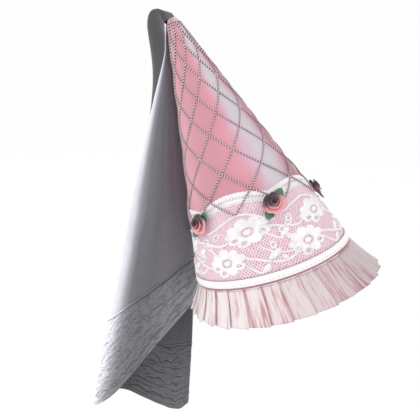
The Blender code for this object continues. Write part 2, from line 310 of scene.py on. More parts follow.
def lay_cord(work, line, outs, radius, pitch, plies, closed=False, dull=1.0):
    # bends a grid into a twisted cord along a line, its plies kept as an attribute for the dye and
    # for painted shade in the grooves and a painted highlight on the crests, dull is how light the
    # darker plies are
    ply_tone_and_shade = work.verts.layers.float.get("ply_tone_and_shade") or work.verts.layers.float.new("ply_tone_and_shade")
    if closed:
        line = line + [line[0]]
        outs = outs + [outs[0]]
    last = len(line) - 1
    sides = 4 * plies
    length = run_along(line)[-1]
    turns = round(length / pitch) if closed else length / pitch
    frames = []
    for i, at in enumerate(line):
        ahead = line[i + 1] if i < last else line[1] if closed else at
        behind = line[i - 1] if i else line[-2] if closed else at
        along = (ahead - behind).normalized()
        out = (outs[i] - along * outs[i].dot(along)).normalized()
        frames.append((at, out, along.cross(out)))

    def twist(vert, i, j):
        at, out, side = frames[i]
        angle = math.tau * ((sides - j) % sides) / sides
        crest = abs(math.cos(plies * angle / 2))
        reach = radius * (0.55 + 0.45 * crest)
        swing = angle + math.tau * turns * i / last
        # painted shade in the grooves between the plies and a painted highlight on their crests,
        # times the darker ply's own tone
        vert[ply_tone_and_shade] = crest * (1 if math.cos(angle + math.pi / sides) > 0 else dull)
        spot = at + (out * math.cos(swing) + side * math.sin(swing)) * reach
        return spot, (i / last, 1 - j / sides)

    grid = bend_grid(work, last, sides, twist)
    bmesh.ops.remove_doubles(work, verts=grid, dist=0.000001)
    rims = dict.fromkeys(e for v in grid if v.is_valid for e in v.link_edges if e.is_boundary)
    if rims:
        bmesh.ops.holes_fill(work, edges=list(rims), sides=sides)


def even_line(places, step, closed=False):
    # the same line walked in even steps
    if closed:
        places = places + [places[0]]
    run = run_along(places)
    count = max(2, round(run[-1] / step))
    made = []
    i = 0
    for n in range(count + (0 if closed else 1)):
        wanted = run[-1] * n / count
        while i < len(run) - 2 and run[i + 1] < wanted:
            i += 1
        t = (wanted - run[i]) / max(run[i + 1] - run[i], 1e-9)
        made.append(places[i].lerp(places[i + 1], min(t, 1)))
    return made


# the first colour is painted shade in the grooves, the second a painted highlight on the crests
cord_dye = cord_material("silver_rose_rayon_cord", "#82626b", "#f2e4e6")
work = bmesh.new()
climb_from = net_share(NET_ROWS - 2)
climb_to = net_share(NET_ROWS - 1)
for start in range(NET_CORDS):
    for way in (1, -1):
        places = []
        for n in range(CORD_BEGINS, NET_ROWS * ROW_STEPS + 1):
            row = n / ROW_STEPS
            turn = NET_TURN + (2 * start + way * row) * NET_COLUMN
            share = net_share(row)
            climb = min(max((share - climb_from) / (climb_to - climb_from), 0), 1)
            weave = math.cos(math.pi * row) * way * CORD_OVER * min(1, share * 3)
            lift = CORD_LIFT + weave + (BAND_THICK + CORD_OVER_LACE) * climb
            places.append(on_cone(lean(share, turn), turn, lift))
        line = even_line(places, CORD_PITCH / 6)
        outs = [off_cone(math.atan2(at.y, at.x)) for at in line]
        lay_cord(work, line, outs, CORD_R, CORD_PITCH, 2, dull=0.3)
finish("twisted_cord_net", work, cord_dye, ["cord_net"])


# Lace band, ground. Cotton bobbin net over the rose satin, its meshes filled by a fine twill
# thread so that it reads as dusty pink, cut along the scallops and sewn flat round the cone.
SCALLOPS = 5
SCALLOP_DEG = 360 / SCALLOPS
FIRST_VALLEY_DEG = 156
BAND_VALLEY = 0.755
BAND_RISE = 0.027
BAND_ABOVE_BRIM = 0.0255
RIBBON_WIDTH = 0.0235
GROUND_LIFT = 0.35 * MM
GROUND_THICK = 0.4 * MM
BAND_SIZE_MM = (505, 72)
# drawn a little coarser than the real 2 mm so that it shows
NET_MESH_MM = 2.45
LACE_LIFT = GROUND_LIFT + GROUND_THICK
LACE_THICK = 0.45 * MM


def band_top(turn):
    arch = abs(math.sin((turn - math.radians(FIRST_VALLEY_DEG)) * SCALLOPS / 2))
    return BAND_VALLEY - BAND_RISE * arch


def round_grid(work, turns, rows, shape):
    # a grid bent into a ring, shape gives the place for a turn and a share across
    def place(vert, i, j):
        return shape(math.tau * i / turns, j / rows), (i / turns, j / rows)

    grid = bend_grid(work, turns, rows, place)
    bmesh.ops.remove_doubles(work, verts=grid, dist=0.00002)


net_ground, tree, shader = start_material("cotton_net_ground", Roughness=0.85, Sheen_Weight=0.2)
mapped = add(tree, "UVMap", uv_map="UVMap").outputs["UV"]
slanted = (0, 0, math.pi / 4)
meshes = (BAND_SIZE_MM[0] / NET_MESH_MM, BAND_SIZE_MM[1] / NET_MESH_MM, 1)
in_mm = add(tree, "Mapping", {"Vector": mapped, "Scale": meshes})
scaled = add(tree, "Mapping", {"Vector": in_mm.outputs["Vector"], "Rotation": slanted})
mesh_net = add(
    tree,
    "TexVoronoi",
    {"Vector": scaled.outputs["Vector"], "Scale": 1.0, "Randomness": 0.25},
    voronoi_dimensions="2D",
    feature="DISTANCE_TO_EDGE",
)
place = add(tree, "TexCoord").outputs["Object"]
cloudy = add(tree, "TexNoise", {"Vector": place, "Scale": 300.0, "Detail": 2.0})
spread = add(tree, "Math", {0: cloudy.outputs["Fac"], 1: 0.3, 2: -0.15}, operation="MULTIPLY_ADD")
level = add(tree, "Math", {0: mesh_net.outputs["Distance"], 1: spread.outputs[0]}, operation="ADD")
tint = add(
    tree,
    "ValToRGB",
    {"Fac": level.outputs[0]},
    stops=((0.04, "#f3e2e8"), (0.2, "#deb5c3"), (0.44, "#ba7c91")),
)
relief = add(
    tree,
    "Bump",
    {"Height": mesh_net.outputs["Distance"], "Strength": 0.5, "Distance": 0.0004},
    invert=True,
)
dress(shader, tint.outputs["Color"], relief)


def ground_place(turn, across):
    foot = brim(turn) - BAND_ABOVE_BRIM
    return on_cone(lean(band_top(turn), turn) * (1 - across) + foot * across, turn, GROUND_LIFT)


work = bmesh.new()
round_grid(work, 360, 22, ground_place)
ground = finish("lace_net_ground", work, net_ground, ["lace_band"])
wall(ground, GROUND_THICK, 1)


# Lace band, white work. Raised cotton needle lace, matt and a little uneven: a scalloped edging
# with two rows of slanting eyelets, and in each scallop two wide roses, lines and leaves.
EDGING_WIDTH = 0.038
EDGING_TURNS = 480
EDGING_ROWS = 12
PICOTS = 90
PICOT_DEPTH = 1.1 * MM
LACE_WANDER_DEG = (4, -4, 0, 0, 0)
# the drawn pattern's first row, how many rows it takes, and the band's width that they fill
LACE_TOP = 0.797
LACE_ROWS = 0.223
LACE_WIDTH = 0.212
# where the lace climbs to the ribbon's height, as shares down the cone, and how high
CLIMB_BEGINS = 0.008
CLIMB_RUN = 0.01
CLIMB = 1.1 * MM
# a lace rose's petals: degrees round it, how far out and how large, as shares of its half width
LACE_PETALS = (
    (15, 0.72, 1.0), (56, 0.68, 0.95), (98, 0.7, 1.05), (140, 0.68, 0.95), (172, 0.74, 0.9),
    (204, 0.68, 0.95), (247, 0.7, 1.05), (290, 0.66, 0.95), (331, 0.7, 1.0),
)
LACE_OPENINGS = (204, 247, 331)

lace_white, tree, shader = start_material(
    "white_cotton_needle_lace", Roughness=0.75, Sheen_Weight=0.3
)
place = add(tree, "TexCoord").outputs["Object"]
knots = add(tree, "TexVoronoi", {"Vector": place, "Scale": 700.0, "Randomness": 0.6})
soft = add(tree, "TexNoise", {"Vector": place, "Scale": 90.0, "Detail": 2.0})
whites = ((0.3, "#e6e2e4"), (0.6, "#f6f4f5"))
tint = add(tree, "ValToRGB", {"Fac": soft.outputs["Fac"]}, stops=whites)
relief = add(
    tree, "Bump", {"Height": knots.outputs["Distance"], "Strength": 0.35, "Distance": 0.0004}
)
dress(shader, tint.outputs["Color"], relief)


def edging(turn, across):
    start = band_top(turn)
    share = lean(start + EDGING_WIDTH * across, turn)
    picot = abs(math.sin(turn * PICOTS / 2)) * PICOT_DEPTH * max(0, 1 - 4 * across)
    return on_cone(share - picot / SLANT, turn, LACE_LIFT)


work = bmesh.new()
round_grid(work, EDGING_TURNS, EDGING_ROWS, edging)
layer = work.loops.layers.uv["UVMap"]
holes = []
for face in work.faces:
    u = sum(loop[layer].uv.x for loop in face.loops) / len(face.loops)
    v = sum(loop[layer].uv.y for loop in face.loops) / len(face.loops)
    column = int(u * EDGING_TURNS)
    row = int(v * EDGING_ROWS)
    wide_eyelet = row in (4, 5, 6) and (column + row) % 4 < 2
    small_eyelet = row in (9, 10) and (column - row) % 4 < 1
    if wide_eyelet or small_eyelet:
        holes.append(face)
bmesh.ops.delete(work, geom=holes, context="FACES")


def on_band(scallop, turn_deg, row, u, v, lift):
    # u mm round the band and v mm down from a spot given in degrees from the scallop's rose, the
    # pattern is squeezed where the band is narrower
    valley_deg = FIRST_VALLEY_DEG + SCALLOP_DEG * scallop
    turn = math.radians(valley_deg + turn_deg + LACE_WANDER_DEG[scallop])
    top = lean(LACE_TOP, turn)
    width = brim(turn) - RIBBON_WIDTH - top
    share = top + width * ((row - LACE_TOP) / LACE_ROWS + v * MM / SLANT / LACE_WIDTH)
    turn += u * MM / (CONE_R * share)
    climbed = (share - brim(turn) + RIBBON_WIDTH + CLIMB_BEGINS) / CLIMB_RUN
    return on_cone(share, turn, lift + CLIMB * min(max(climbed, 0), 1))


def sew(work, verts, scallop, turn_deg, row, spin_deg=0):
    # lays a motif drawn flat in mm onto the band
    spin = math.radians(spin_deg)
    for vert in verts:
        x, y, z = vert.co
        u = x * math.cos(spin) + y * math.sin(spin)
        v = x * math.sin(spin) - y * math.cos(spin)
        vert.co = on_band(scallop, turn_deg, row, u, v, LACE_LIFT + z * MM)


def loop_shape(work, wide, tall, hole, centre, points=20, high=0.0, spin=0.0, ragged=0.0):
    # a flat oval of cloth work drawn in mm, with an oval hole in it, hole 0 closes it
    grown = []
    rings = []
    for size, level in ((1.0, 0.0), (0.86, 0.2), (hole or 0.05, 0.18)):
        ring = bmesh.ops.create_circle(work, cap_ends=False, segments=points, radius=1)["verts"]
        for vert in ring:
            angle = math.atan2(vert.co.y, vert.co.x)
            bite = size * (1 - ragged * abs(math.sin(angle * 3.5 + centre[0])))
            x = math.cos(angle) * wide * bite
            y = math.sin(angle) * tall * bite
            c, n = math.cos(spin), math.sin(spin)
            vert.co = (centre[0] + x * c - y * n, centre[1] + x * n + y * c, high + level)
        rings.append(ring)
        grown += ring
    for one, two in zip(rings, rings[1:]):
        edges = dict.fromkeys(e for v in one + two for e in v.link_edges)
        free = [e for e in edges if e.is_boundary or e.is_wire]
        loops = [e for e in free if len({v in one for v in e.verts}) == 1]
        bmesh.ops.bridge_loops(work, edges=loops)
    if not hole:
        work.faces.new(rings[-1])
    return grown


def lace_rose(work, scallop, turn_deg, row, wide, tall, spin_deg):
    # lapped petals round a button in a ring, the low petals with an opening
    grown = []
    for n, (turn, reach, size) in enumerate(LACE_PETALS):
        angle = math.radians(turn)
        grown += loop_shape(
            work,
            0.36 * size,
            0.31 * size,
            0.42 if turn in LACE_OPENINGS else 0,
            (reach * math.cos(angle), reach * math.sin(angle)),
            points=24,
            high=0.05 * (n % 2),
            spin=angle,
            ragged=0.1,
        )
    grown += loop_shape(work, 0.56, 0.6, 0.5, (0, 0), points=28, high=0.1)
    grown += loop_shape(work, 0.2, 0.19, 0, (0, 0), high=0.1)
    for vert in grown:
        vert.co.x *= wide
        vert.co.y *= tall
    sew(work, grown, scallop, turn_deg, row, spin_deg)


def between(points, place_in):
    # smooth curve through the points
    last = len(points) - 1
    i = min(int(place_in), last - 1)
    t = place_in - i
    p1 = points[i]
    p2 = points[i + 1]
    p0 = points[i - 1] if i > 0 else p1 - (p2 - p1)
    p3 = points[i + 2] if i + 2 <= last else p2 + (p2 - p1)
    slope = (p2 - p0) * t
    bend = (p0 * 2 - p1 * 5 + p2 * 4 - p3) * t**2
    twist = (p1 * 3 - p0 - p2 * 3 + p3) * t**3
    return p1 + (slope + bend + twist) / 2


def lace_line(work, scallop, places, width):
    # a narrow braid through places given as degrees from the rose and row
    spots = [Vector((turn_deg, row * 1000)) for turn_deg, row in places]
    last = len(spots) - 1
    fine = [between(spots, last * n / (12 * last)) for n in range(12 * last + 1)]
    line = [on_band(scallop, at.x, at.y / 1000, 0, 0, LACE_LIFT + 0.25 * MM) for at in fine]
    line = even_line(line, 1.2 * MM)
    outs = [off_cone(math.atan2(at.y, at.x)) for at in line]
    lay_cord(work, line, outs, width * MM, UNTWISTED, 2)


for scallop in range(SCALLOPS):
    lace_rose(work, scallop, 37.2, 0.867, 26.0, 14.8, -3)
    lace_rose(work, scallop, 14.0, 0.957, 22.5, 15.5, 2)
    # outlined leaves and rings, then filled leaves and the thick ends of the outlined ones
    sew(work, loop_shape(work, 6.4, 4.4, 0.66, (0, 0), ragged=0.1), scallop, 71.6, 0.870, -35)
    sew(work, loop_shape(work, 5.4, 4.0, 0.6, (0, 0), ragged=0.1), scallop, 8.8, 0.860, -40)
    sew(work, loop_shape(work, 3.8, 3.8, 0.5, (0, 0)), scallop, -0.6, 0.892)
    sew(work, loop_shape(work, 3.6, 4.2, 0.45, (0, 0)), scallop, -11.7, 0.932)
    for wide, tall, turn_deg, row, spin_deg in (
        (6.8, 3.2, 64.8, 0.903, -21),
        (3.6, 3.0, 66.5, 0.921, 20),
        (9.5, 3.5, 50.7, 0.962, -21),
        (6.8, 3.2, 42.0, 1.000, -28),
        (3.4, 2.4, 57.0, 0.982, 25),
    ):
        leaf = loop_shape(work, wide, tall, 0, (0, 0), ragged=0.14)
        sew(work, leaf, scallop, turn_deg, row, spin_deg)
    for width, places in (
        (1.0, (
            (0, 0.84), (8, 0.833), (17, 0.82), (28, 0.807),
            (35, 0.803), (44, 0.812), (53, 0.832), (62, 0.852),
        )),
        (1.2, ((-20, 0.851), (-12, 0.863), (-4, 0.872), (6, 0.888), (14, 0.893), (20, 0.885))),
        (1.0, ((47, 0.872), (49, 0.88), (53, 0.896), (58, 0.913), (62, 0.919))),
        (1.2, (
            (28, 0.949), (36, 0.961), (46, 0.981), (51, 0.989),
            (58, 0.993), (64, 0.985), (70, 0.968),
        )),
        (1.0, ((27, 0.964), (31, 0.988), (37, 1.01), (40, 1.008))),
        (0.9, ((-21, 0.925), (-15, 0.948), (-7, 0.965), (2, 0.972))),
        (0.9, ((0, 0.896), (3, 0.915), (8, 0.925))),
    ):
        lace_line(work, scallop, places, width)
motifs = finish("white_lace_work", work, lace_white)
wall(motifs, LACE_THICK, 1)


# Brim ribbon. White grosgrain ribbon, finely ribbed across, sewn round the brim over the foot of
# the lace, with a row of small rose running stitches along its lower edge.
RIBBON_RISE = 0.75 * MM
RIBBON_THICK = 0.5 * MM
RIBS = 620
STITCHES = 110

grosgrain, tree, shader = start_material("white_grosgrain_ribbon", Roughness=0.6, Sheen_Weight=0.3)
mapped = add(tree, "UVMap", uv_map="UVMap").outputs["UV"]
axes = add(tree, "SeparateXYZ", {"Vector": mapped})
ribs = add(tree, "Math", {0: axes.outputs["X"], 1: RIBS * math.tau}, operation="MULTIPLY")
ribs = add(tree, "Math", {0: ribs.outputs[0]}, operation="SINE")
stitch = add(tree, "Math", {0: axes.outputs["X"], 1: float(STITCHES)}, operation="MULTIPLY")
stitch = add(tree, "Math", {0: stitch.outputs[0]}, operation="FRACT")
stitch = add(tree, "Math", {0: stitch.outputs[0], 1: 0.45}, operation="LESS_THAN")
off_row = add(tree, "Math", {0: axes.outputs["Y"], 1: 0.72}, operation="SUBTRACT")
off_row = add(tree, "Math", {0: off_row.outputs[0]}, operation="ABSOLUTE")
in_row = add(tree, "Math", {0: off_row.outputs[0], 1: 0.05}, operation="LESS_THAN")
sewn = add(tree, "Math", {0: stitch.outputs[0], 1: in_row.outputs[0]}, operation="MULTIPLY")
tint = add(
    tree,
    "Mix",
    {0: sewn.outputs[0], 6: colour("#f7f5f6"), 7: colour("#e3bcc4")},
    data_type="RGBA",
)
relief = add(tree, "Bump", {"Height": ribs.outputs[0], "Strength": 0.15, "Distance": 0.0003})
dress(shader, tint.outputs[2], relief)


def ribbon_place(turn, across):
    share = brim(turn) - RIBBON_WIDTH * (1 - across)
    crown = 1 - (2 * across - 1) ** 4
    return on_cone(share, turn, GROUND_LIFT + RIBBON_THICK + RIBBON_RISE * crown)


work = bmesh.new()
round_grid(work, 288, 8, ribbon_place)
ribbon = finish("brim_ribbon", work, grosgrain, ["heading_ribbon"])
wall(ribbon, RIBBON_THICK, 1)


# Brim piping. Dark rose rayon cord, three plies twisted, sewn along the brim's edge where the
# ruffle joins.
PIPING_R = 1.3 * MM
PIPING_DROP = 1.7 * MM
PIPING_PITCH = 6.4 * MM
RIM_STEPS = 720

# the plies get painted shade in their grooves and a painted highlight on their crests
rope_dye = cord_material("dark_rose_rayon_cord", "#8f4c58", "#dba3ac")
work = bmesh.new()
rim = []
for n in range(RIM_STEPS):
    turn = math.tau * n / RIM_STEPS
    rim.append(on_cone(brim(turn), turn, 0) - Vector((0, 0, PIPING_DROP)))
length = run_along(rim + rim[:1])[-1]
pitch = length / round(length / PIPING_PITCH)
line = even_line(rim, pitch / 10, closed=True)
outs = [Vector((at.x, at.y, 0)) for at in line]
lay_cord(work, line, outs, PIPING_R, pitch, 3, closed=True)
finish("brim_piping", work, rope_dye, ["rope_piping"])


# Brim ruffle. A strip of white satin with the rose dye in streaks along its pleats, laid in knife
# pleats under the brim and left open at its hem, deeper in front. Painted shade darkens it just
# under each fold and round the front.
PLEATS = 28
RUFFLE_ROWS = 16
RUFFLE_TOP = 3.6 * MM
RUFFLE_TUCK = 0.4 * MM
RUFFLE_WALL = 0.5 * MM
# the hem's radius and its drop in mm: all round, more in front, more at the sides
HEM_R = (112, 2.5, -4)
HEM_DROP = (32, 16, 5)
# place along one pleat and how far the cloth stands out there, from under one fold to the next
PLEAT = (
    (-0.09, -1.0),
    (0.04, -0.75),
    (0.16, -0.45),
    (0.28, -0.35),
    (0.4, -0.05),
    (0.52, 0.2),
    (0.64, 0.25),
    (0.76, 0.55),
    (0.88, 0.85),
    (0.97, 1.0),
    (1.0, 0.8),
    (0.98, 0.2),
    (0.94, -0.5),
)

ruffle_satin, tree, shader = start_material("streaked_rose_satin", Roughness=0.45, Sheen_Weight=0.3)
mapped = add(tree, "UVMap", uv_map="UVMap").outputs["UV"]
streaks = add(tree, "Mapping", {"Vector": mapped, "Scale": (330, 1.3, 1)}).outputs["Vector"]
fine = add(tree, "TexNoise", {"Vector": streaks, "Scale": 1.0, "Detail": 3.0, "Roughness": 0.6})
bands = add(tree, "Mapping", {"Vector": mapped, "Scale": (110, 0.5, 1)}).outputs["Vector"]
broad = add(tree, "TexNoise", {"Vector": bands, "Scale": 1.0, "Detail": 1.0})
axes = add(tree, "SeparateXYZ", {"Vector": mapped})
pleat_turn = add(tree, "Math", {0: axes.outputs["X"], 1: float(PLEATS)}, operation="MULTIPLY")
pleat_turn = add(tree, "Math", {0: pleat_turn.outputs[0]}, operation="FRACT")
# painted shade just under each fold, where the pleat turns in
under_fold_shade = add(tree, "MapRange", {0: pleat_turn.outputs[0], 1: 0.02, 2: 0.15, 3: 0.1, 4: 0.0})
level = add(
    tree,
    "Math",
    {0: broad.outputs["Fac"], 1: 0.45, 2: under_fold_shade.outputs[0]},
    operation="MULTIPLY_ADD",
)
level = add(
    tree,
    "Math",
    {0: fine.outputs["Fac"], 1: 0.55, 2: level.outputs[0]},
    operation="MULTIPLY_ADD",
)
tint = add(
    tree,
    "ValToRGB",
    {"Fac": level.outputs[0]},
    stops=(
        (0.43, "#e9e7e9"),
        (0.5, "#ede5e6"),
        (0.55, "#dfc8ca"),
        (0.61, "#cfa3a8"),
        (0.69, "#b7868c"),
        (0.78, "#91686e"),
    ),
)
relief = add(tree, "Bump", {"Height": fine.outputs["Fac"], "Strength": 0.4, "Distance": 0.0008})
# painted shade, darker round the front of the hat
side_shade = add(
    tree,
    "ValToRGB",
    {"Fac": axes.outputs["X"]},
    stops=(
        (0.0, "#efe6e6"),
        (0.3, "#ffffff"),
        (0.5, "#fdf8f8"),
        (0.6, "#eee4e5"),
        (0.7, "#d6c9cb"),
        (0.8, "#cdbfc1"),
    ),
)
streaks_and_shade = add(
    tree,
    "Mix",
    {0: 1.0, 6: tint.outputs["Color"], 7: side_shade.outputs["Color"]},
    data_type="RGBA",
    blend_type="MULTIPLY",
)
dress(shader, streaks_and_shade.outputs[2], relief)


def ruffle_place(vert, column, row):
    number, fold = divmod(column % (PLEATS * len(PLEAT)), len(PLEAT))
    share, stand = PLEAT[fold]
    level = row / RUFFLE_ROWS
    turn = math.tau * (number + share) / PLEATS
    front = -math.sin(turn)
    sides = math.cos(turn) ** 2
    top_r = CONE_R * brim(turn) - RUFFLE_TUCK
    top_z = CONE_H * (1 - brim(turn)) - RUFFLE_TOP
    low_r = (HEM_R[0] + HEM_R[1] * front + HEM_R[2] * sides) * MM
    drop = (HEM_DROP[0] + HEM_DROP[1] * front + HEM_DROP[2] * sides) * MM
    own = noise.noise(Vector((number * 1.7, 0.3, 0.0)))
    turn += 0.012 * own * level
    depth = (0.9 + (2.4 + 0.6 * own - 0.9) * level) * MM
    ripple = 0.35 * MM * level * math.sin(share * 19 + number * 2.1)
    flare = level - 0.06 * math.sin(math.pi * level)
    radius = top_r + (low_r - top_r) * flare + stand * depth + ripple
    height = top_z - (drop + 1.2 * MM * own + top_z) * level
    spot = Vector((radius * math.cos(turn), radius * math.sin(turn), height))
    return spot, (column / (PLEATS * len(PLEAT)), level)


work = bmesh.new()
grid = bend_grid(work, PLEATS * len(PLEAT), RUFFLE_ROWS, ruffle_place)
bmesh.ops.remove_doubles(work, verts=grid, dist=0.00001)
ruffle = finish("pleated_brim_ruffle", work, ruffle_satin, ["pleated_ruffle"])
wall(ruffle, RUFFLE_WALL, 0)


# Roses. Five rolled roses of soft silk ribbon, each of three heart, four middle and five outer
# petals, dusky plum above and rose pink below, with painted shade deepening towards the heart
# and the petals' feet, and sewn on where two scallops meet.
ROSE_ROW = 0.797
ROSE_R = 11.5
PETAL_THICK = 0.35 * MM
ROSE_LIFT = BAND_THICK + 1.2 * MM
# how far each rose sits up on the cords under it in mm
ROSE_ON_CORDS = (1.4, 1.4, 0.0, 1.4, 0.308)
# how far each rose was sewn on off its even place, in degrees round and as a share down
ROSE_OFF = ((0, 0), (-1.6, 0.009), (0, 0), (1.0, 0.004), (0, 0))
# petals in the ring, reach at the foot and at the lip in mm, height in mm, half width in degrees
ROSE_RINGS = (
    (5, 4.2, 12.2, 4.4, 50),
    (4, 3.0, 8.0, 7.6, 60),
    (3, 1.2, 4.0, 9.2, 86),
)

petal_silk, tree, shader = start_material("ribbon_silk_tone_and_shade", Roughness=0.55, Sheen_Weight=0.35)
petal_tone_and_shade = add(tree, "Attribute", attribute_name="petal_tone_and_shade")
tint = add(
    tree,
    "ValToRGB",
    {"Fac": petal_tone_and_shade.outputs["Fac"]},
    stops=(
        (0.0, "#eea4a9"),
        (0.4, "#d88e94"),
        (0.58, "#94636a"),
        (0.82, "#63444b"),
        (1.0, "#462d33"),
    ),
)
place = add(tree, "TexCoord").outputs["Object"]
creases = add(tree, "TexNoise", {"Vector": place, "Scale": 420.0, "Detail": 2.0})
relief = add(tree, "Bump", {"Height": creases.outputs["Fac"], "Strength": 0.3, "Distance": 0.0005})
dress(shader, tint.outputs["Color"], relief)


def seat(turn_deg, row, lift):
    # the frame of a thing sewn on the cone: z square to the cone, y up its slope
    turn = math.radians(turn_deg)
    out = off_cone(turn)
    side = Vector((-math.sin(turn), math.cos(turn), 0))
    made = Matrix((side, out.cross(side), out)).transposed().to_4x4()
    made.translation = on_cone(lean(row, turn), turn, lift)
    return made


work = bmesh.new()
petal_shade_layer = work.verts.layers.float.new("petal_tone_and_shade")
seats = []
for number in range(SCALLOPS):
    off_deg, off_row = ROSE_OFF[number]
    lift = ROSE_LIFT + ROSE_ON_CORDS[number] * MM
    valley_deg = FIRST_VALLEY_DEG + SCALLOP_DEG * number
    frame_at = seat(valley_deg + off_deg, ROSE_ROW + off_row, lift)
    seats.append(frame_at)
    for ring, (count, foot, lip, high, half_deg) in enumerate(ROSE_RINGS):
        for n in range(count):
            middle = math.tau * (n + 0.5 * ring) / count + 0.7 * ring + 0.9 * number
            own = noise.noise(Vector((n * 1.9 + number * 5.3, ring * 3.7, 0.5))) * 1.6
            grid = bmesh.ops.create_grid(work, x_segments=10, y_segments=7, size=1)["verts"]
            for vert in grid:
                # u round the petal from one side to the other, v from its foot to its lip
                u = vert.co.x
                v = (vert.co.y + 1) / 2
                rim_drop = 0.24 * abs(u) ** 3
                up = v * (1 - rim_drop)
                spread = 0.55 + 0.45 * math.sin(math.pi * v * 0.6)
                angle = middle + math.radians(half_deg) * u * spread
                reach = foot + (lip - foot) * up ** (1.3 - 0.4 * ring) + 0.5 * n / count + 0.25 * u
                curl = max(0, v - 0.78) / 0.22
                reach += 0.9 * curl * curl / (1 + ring) + 0.5 * own * v
                reach += 0.35 * math.sin(5 * u + 3 * n) * v * v
                height = max((high + own) * math.sin(up * math.pi / 2) - 0.8 * curl * curl, 0)
                at = Vector((reach * math.cos(angle), reach * math.sin(angle) * 0.9, height))
                at += Vector((-0.14, 0.24, 0)) * height
                # the attribute: darker up the slope, with painted shade deeper towards the heart
                # and at each petal's foot
                shade = (at.y * 0.95 - at.x * 0.2) / ROSE_R + 0.26 + 0.1 * (1 - v) + 0.17 * ring
                shade += 0.12 * noise.noise(Vector((n * 3.1 + u, ring * 2.7 + v, number)))
                vert[petal_shade_layer] = min(max(shade, 0), 1)
                vert.co = frame_at @ (at * MM)
names = ["rose_%d" % (n + 1) for n in range(SCALLOPS)]
roses = finish("ribbon_roses", work, petal_silk, names, outward=False)
wall(roses, PETAL_THICK, 0)


# Rose leaves. Two stamped leaves of stiffened green satin under each rose, folded along the
# midrib, with painted shade where they go under the petals.
LEAF_LENGTH = 13.8
LEAF_WIDTH = 11.2
LEAF_START = 6.0
LEAF_THICK = 0.4 * MM
LEAF_TURNS_DEG = (38, 215)
LEAF_STEPS = (12, 8)

leaf_satin, tree, shader = start_material("stiffened_green_satin", Roughness=0.5, Sheen_Weight=0.2)
mapped = add(tree, "UVMap", uv_map="UVMap").outputs["UV"]
axes = add(tree, "SeparateXYZ", {"Vector": mapped})
# painted shade: dark green near the rose where the leaf goes under the petals, lighter towards its
# tip
tint = add(
    tree,
    "ValToRGB",
    {"Fac": axes.outputs["X"]},
    stops=((0.2, "#1a4231"), (0.5, "#41745c"), (0.9, "#558a6e")),
)
veined = add(tree, "Math", {0: axes.outputs["Y"], 1: 0.5}, operation="SUBTRACT")
veined = add(tree, "Math", {0: veined.outputs[0]}, operation="ABSOLUTE")
slant = add(tree, "Math", {0: veined.outputs[0], 1: -0.9, 2: 0.0}, operation="MULTIPLY_ADD")
slant = add(tree, "Math", {0: axes.outputs["X"], 1: slant.outputs[0]}, operation="ADD")
slant = add(tree, "Math", {0: slant.outputs[0], 1: 42.0}, operation="MULTIPLY")
slant = add(tree, "Math", {0: slant.outputs[0]}, operation="SINE")
relief = add(tree, "Bump", {"Height": slant.outputs[0], "Strength": 0.3, "Distance": 0.0004})
dress(shader, tint.outputs["Color"], relief)

work = bmesh.new()
for frame_at in seats:
    for turn_deg in LEAF_TURNS_DEG:
        spin = Matrix.Rotation(math.radians(turn_deg), 4, "Z")

        def leaf_place(vert, column, row):
            along = column / LEAF_STEPS[0]
            across = 1 - 2 * row / LEAF_STEPS[1]
            half = math.sin(math.pi * along**0.8) ** 0.55 * 0.9 + 0.1 * (1 - along)
            x = LEAF_START + LEAF_LENGTH * along
            y = across * half * LEAF_WIDTH / 2
            rise = 0.4 + 1.5 * along * along + 0.9 * abs(across) - 0.5 * across * across * along
            return frame_at @ spin @ (Vector((x, y, rise)) * MM), (along, (across + 1) / 2)

        bend_grid(work, *LEAF_STEPS, leaf_place)
names = ["leaf_%d%s" % (n + 1, letter) for n in range(SCALLOPS) for letter in "ab"]
leaves = finish("rose_leaves", work, leaf_satin, names, outward=False)
wall(leaves, LEAF_THICK, 1)


# Veil. One length of matt grey voile, cut to a taper and gathered into the cone's tip, with
# painted light making it pearl-white on the near fold and painted shade on the tab and far side.
# It arches over and falls behind the hat in a deep open fold.
VEIL_STEPS = 24
VEIL_ROWS = 120
VEIL_WALL = 0.6 * MM
# metres of cloth to one unit of UV, and how finely a fold line is walked
UV_METRES = 0.6
LINE_STEPS = 160
BORDER_WIDTH = 110 * MM
BORDER_LAP = 0.8 * MM
# the border is widest at the near fold, one share for each fold line
BORDER_SHARES = (0.49, 0.57, 0.81, 1.15, 1.36, 1.32, 1.18, 1.07, 0.99, 1.02, 0.92)
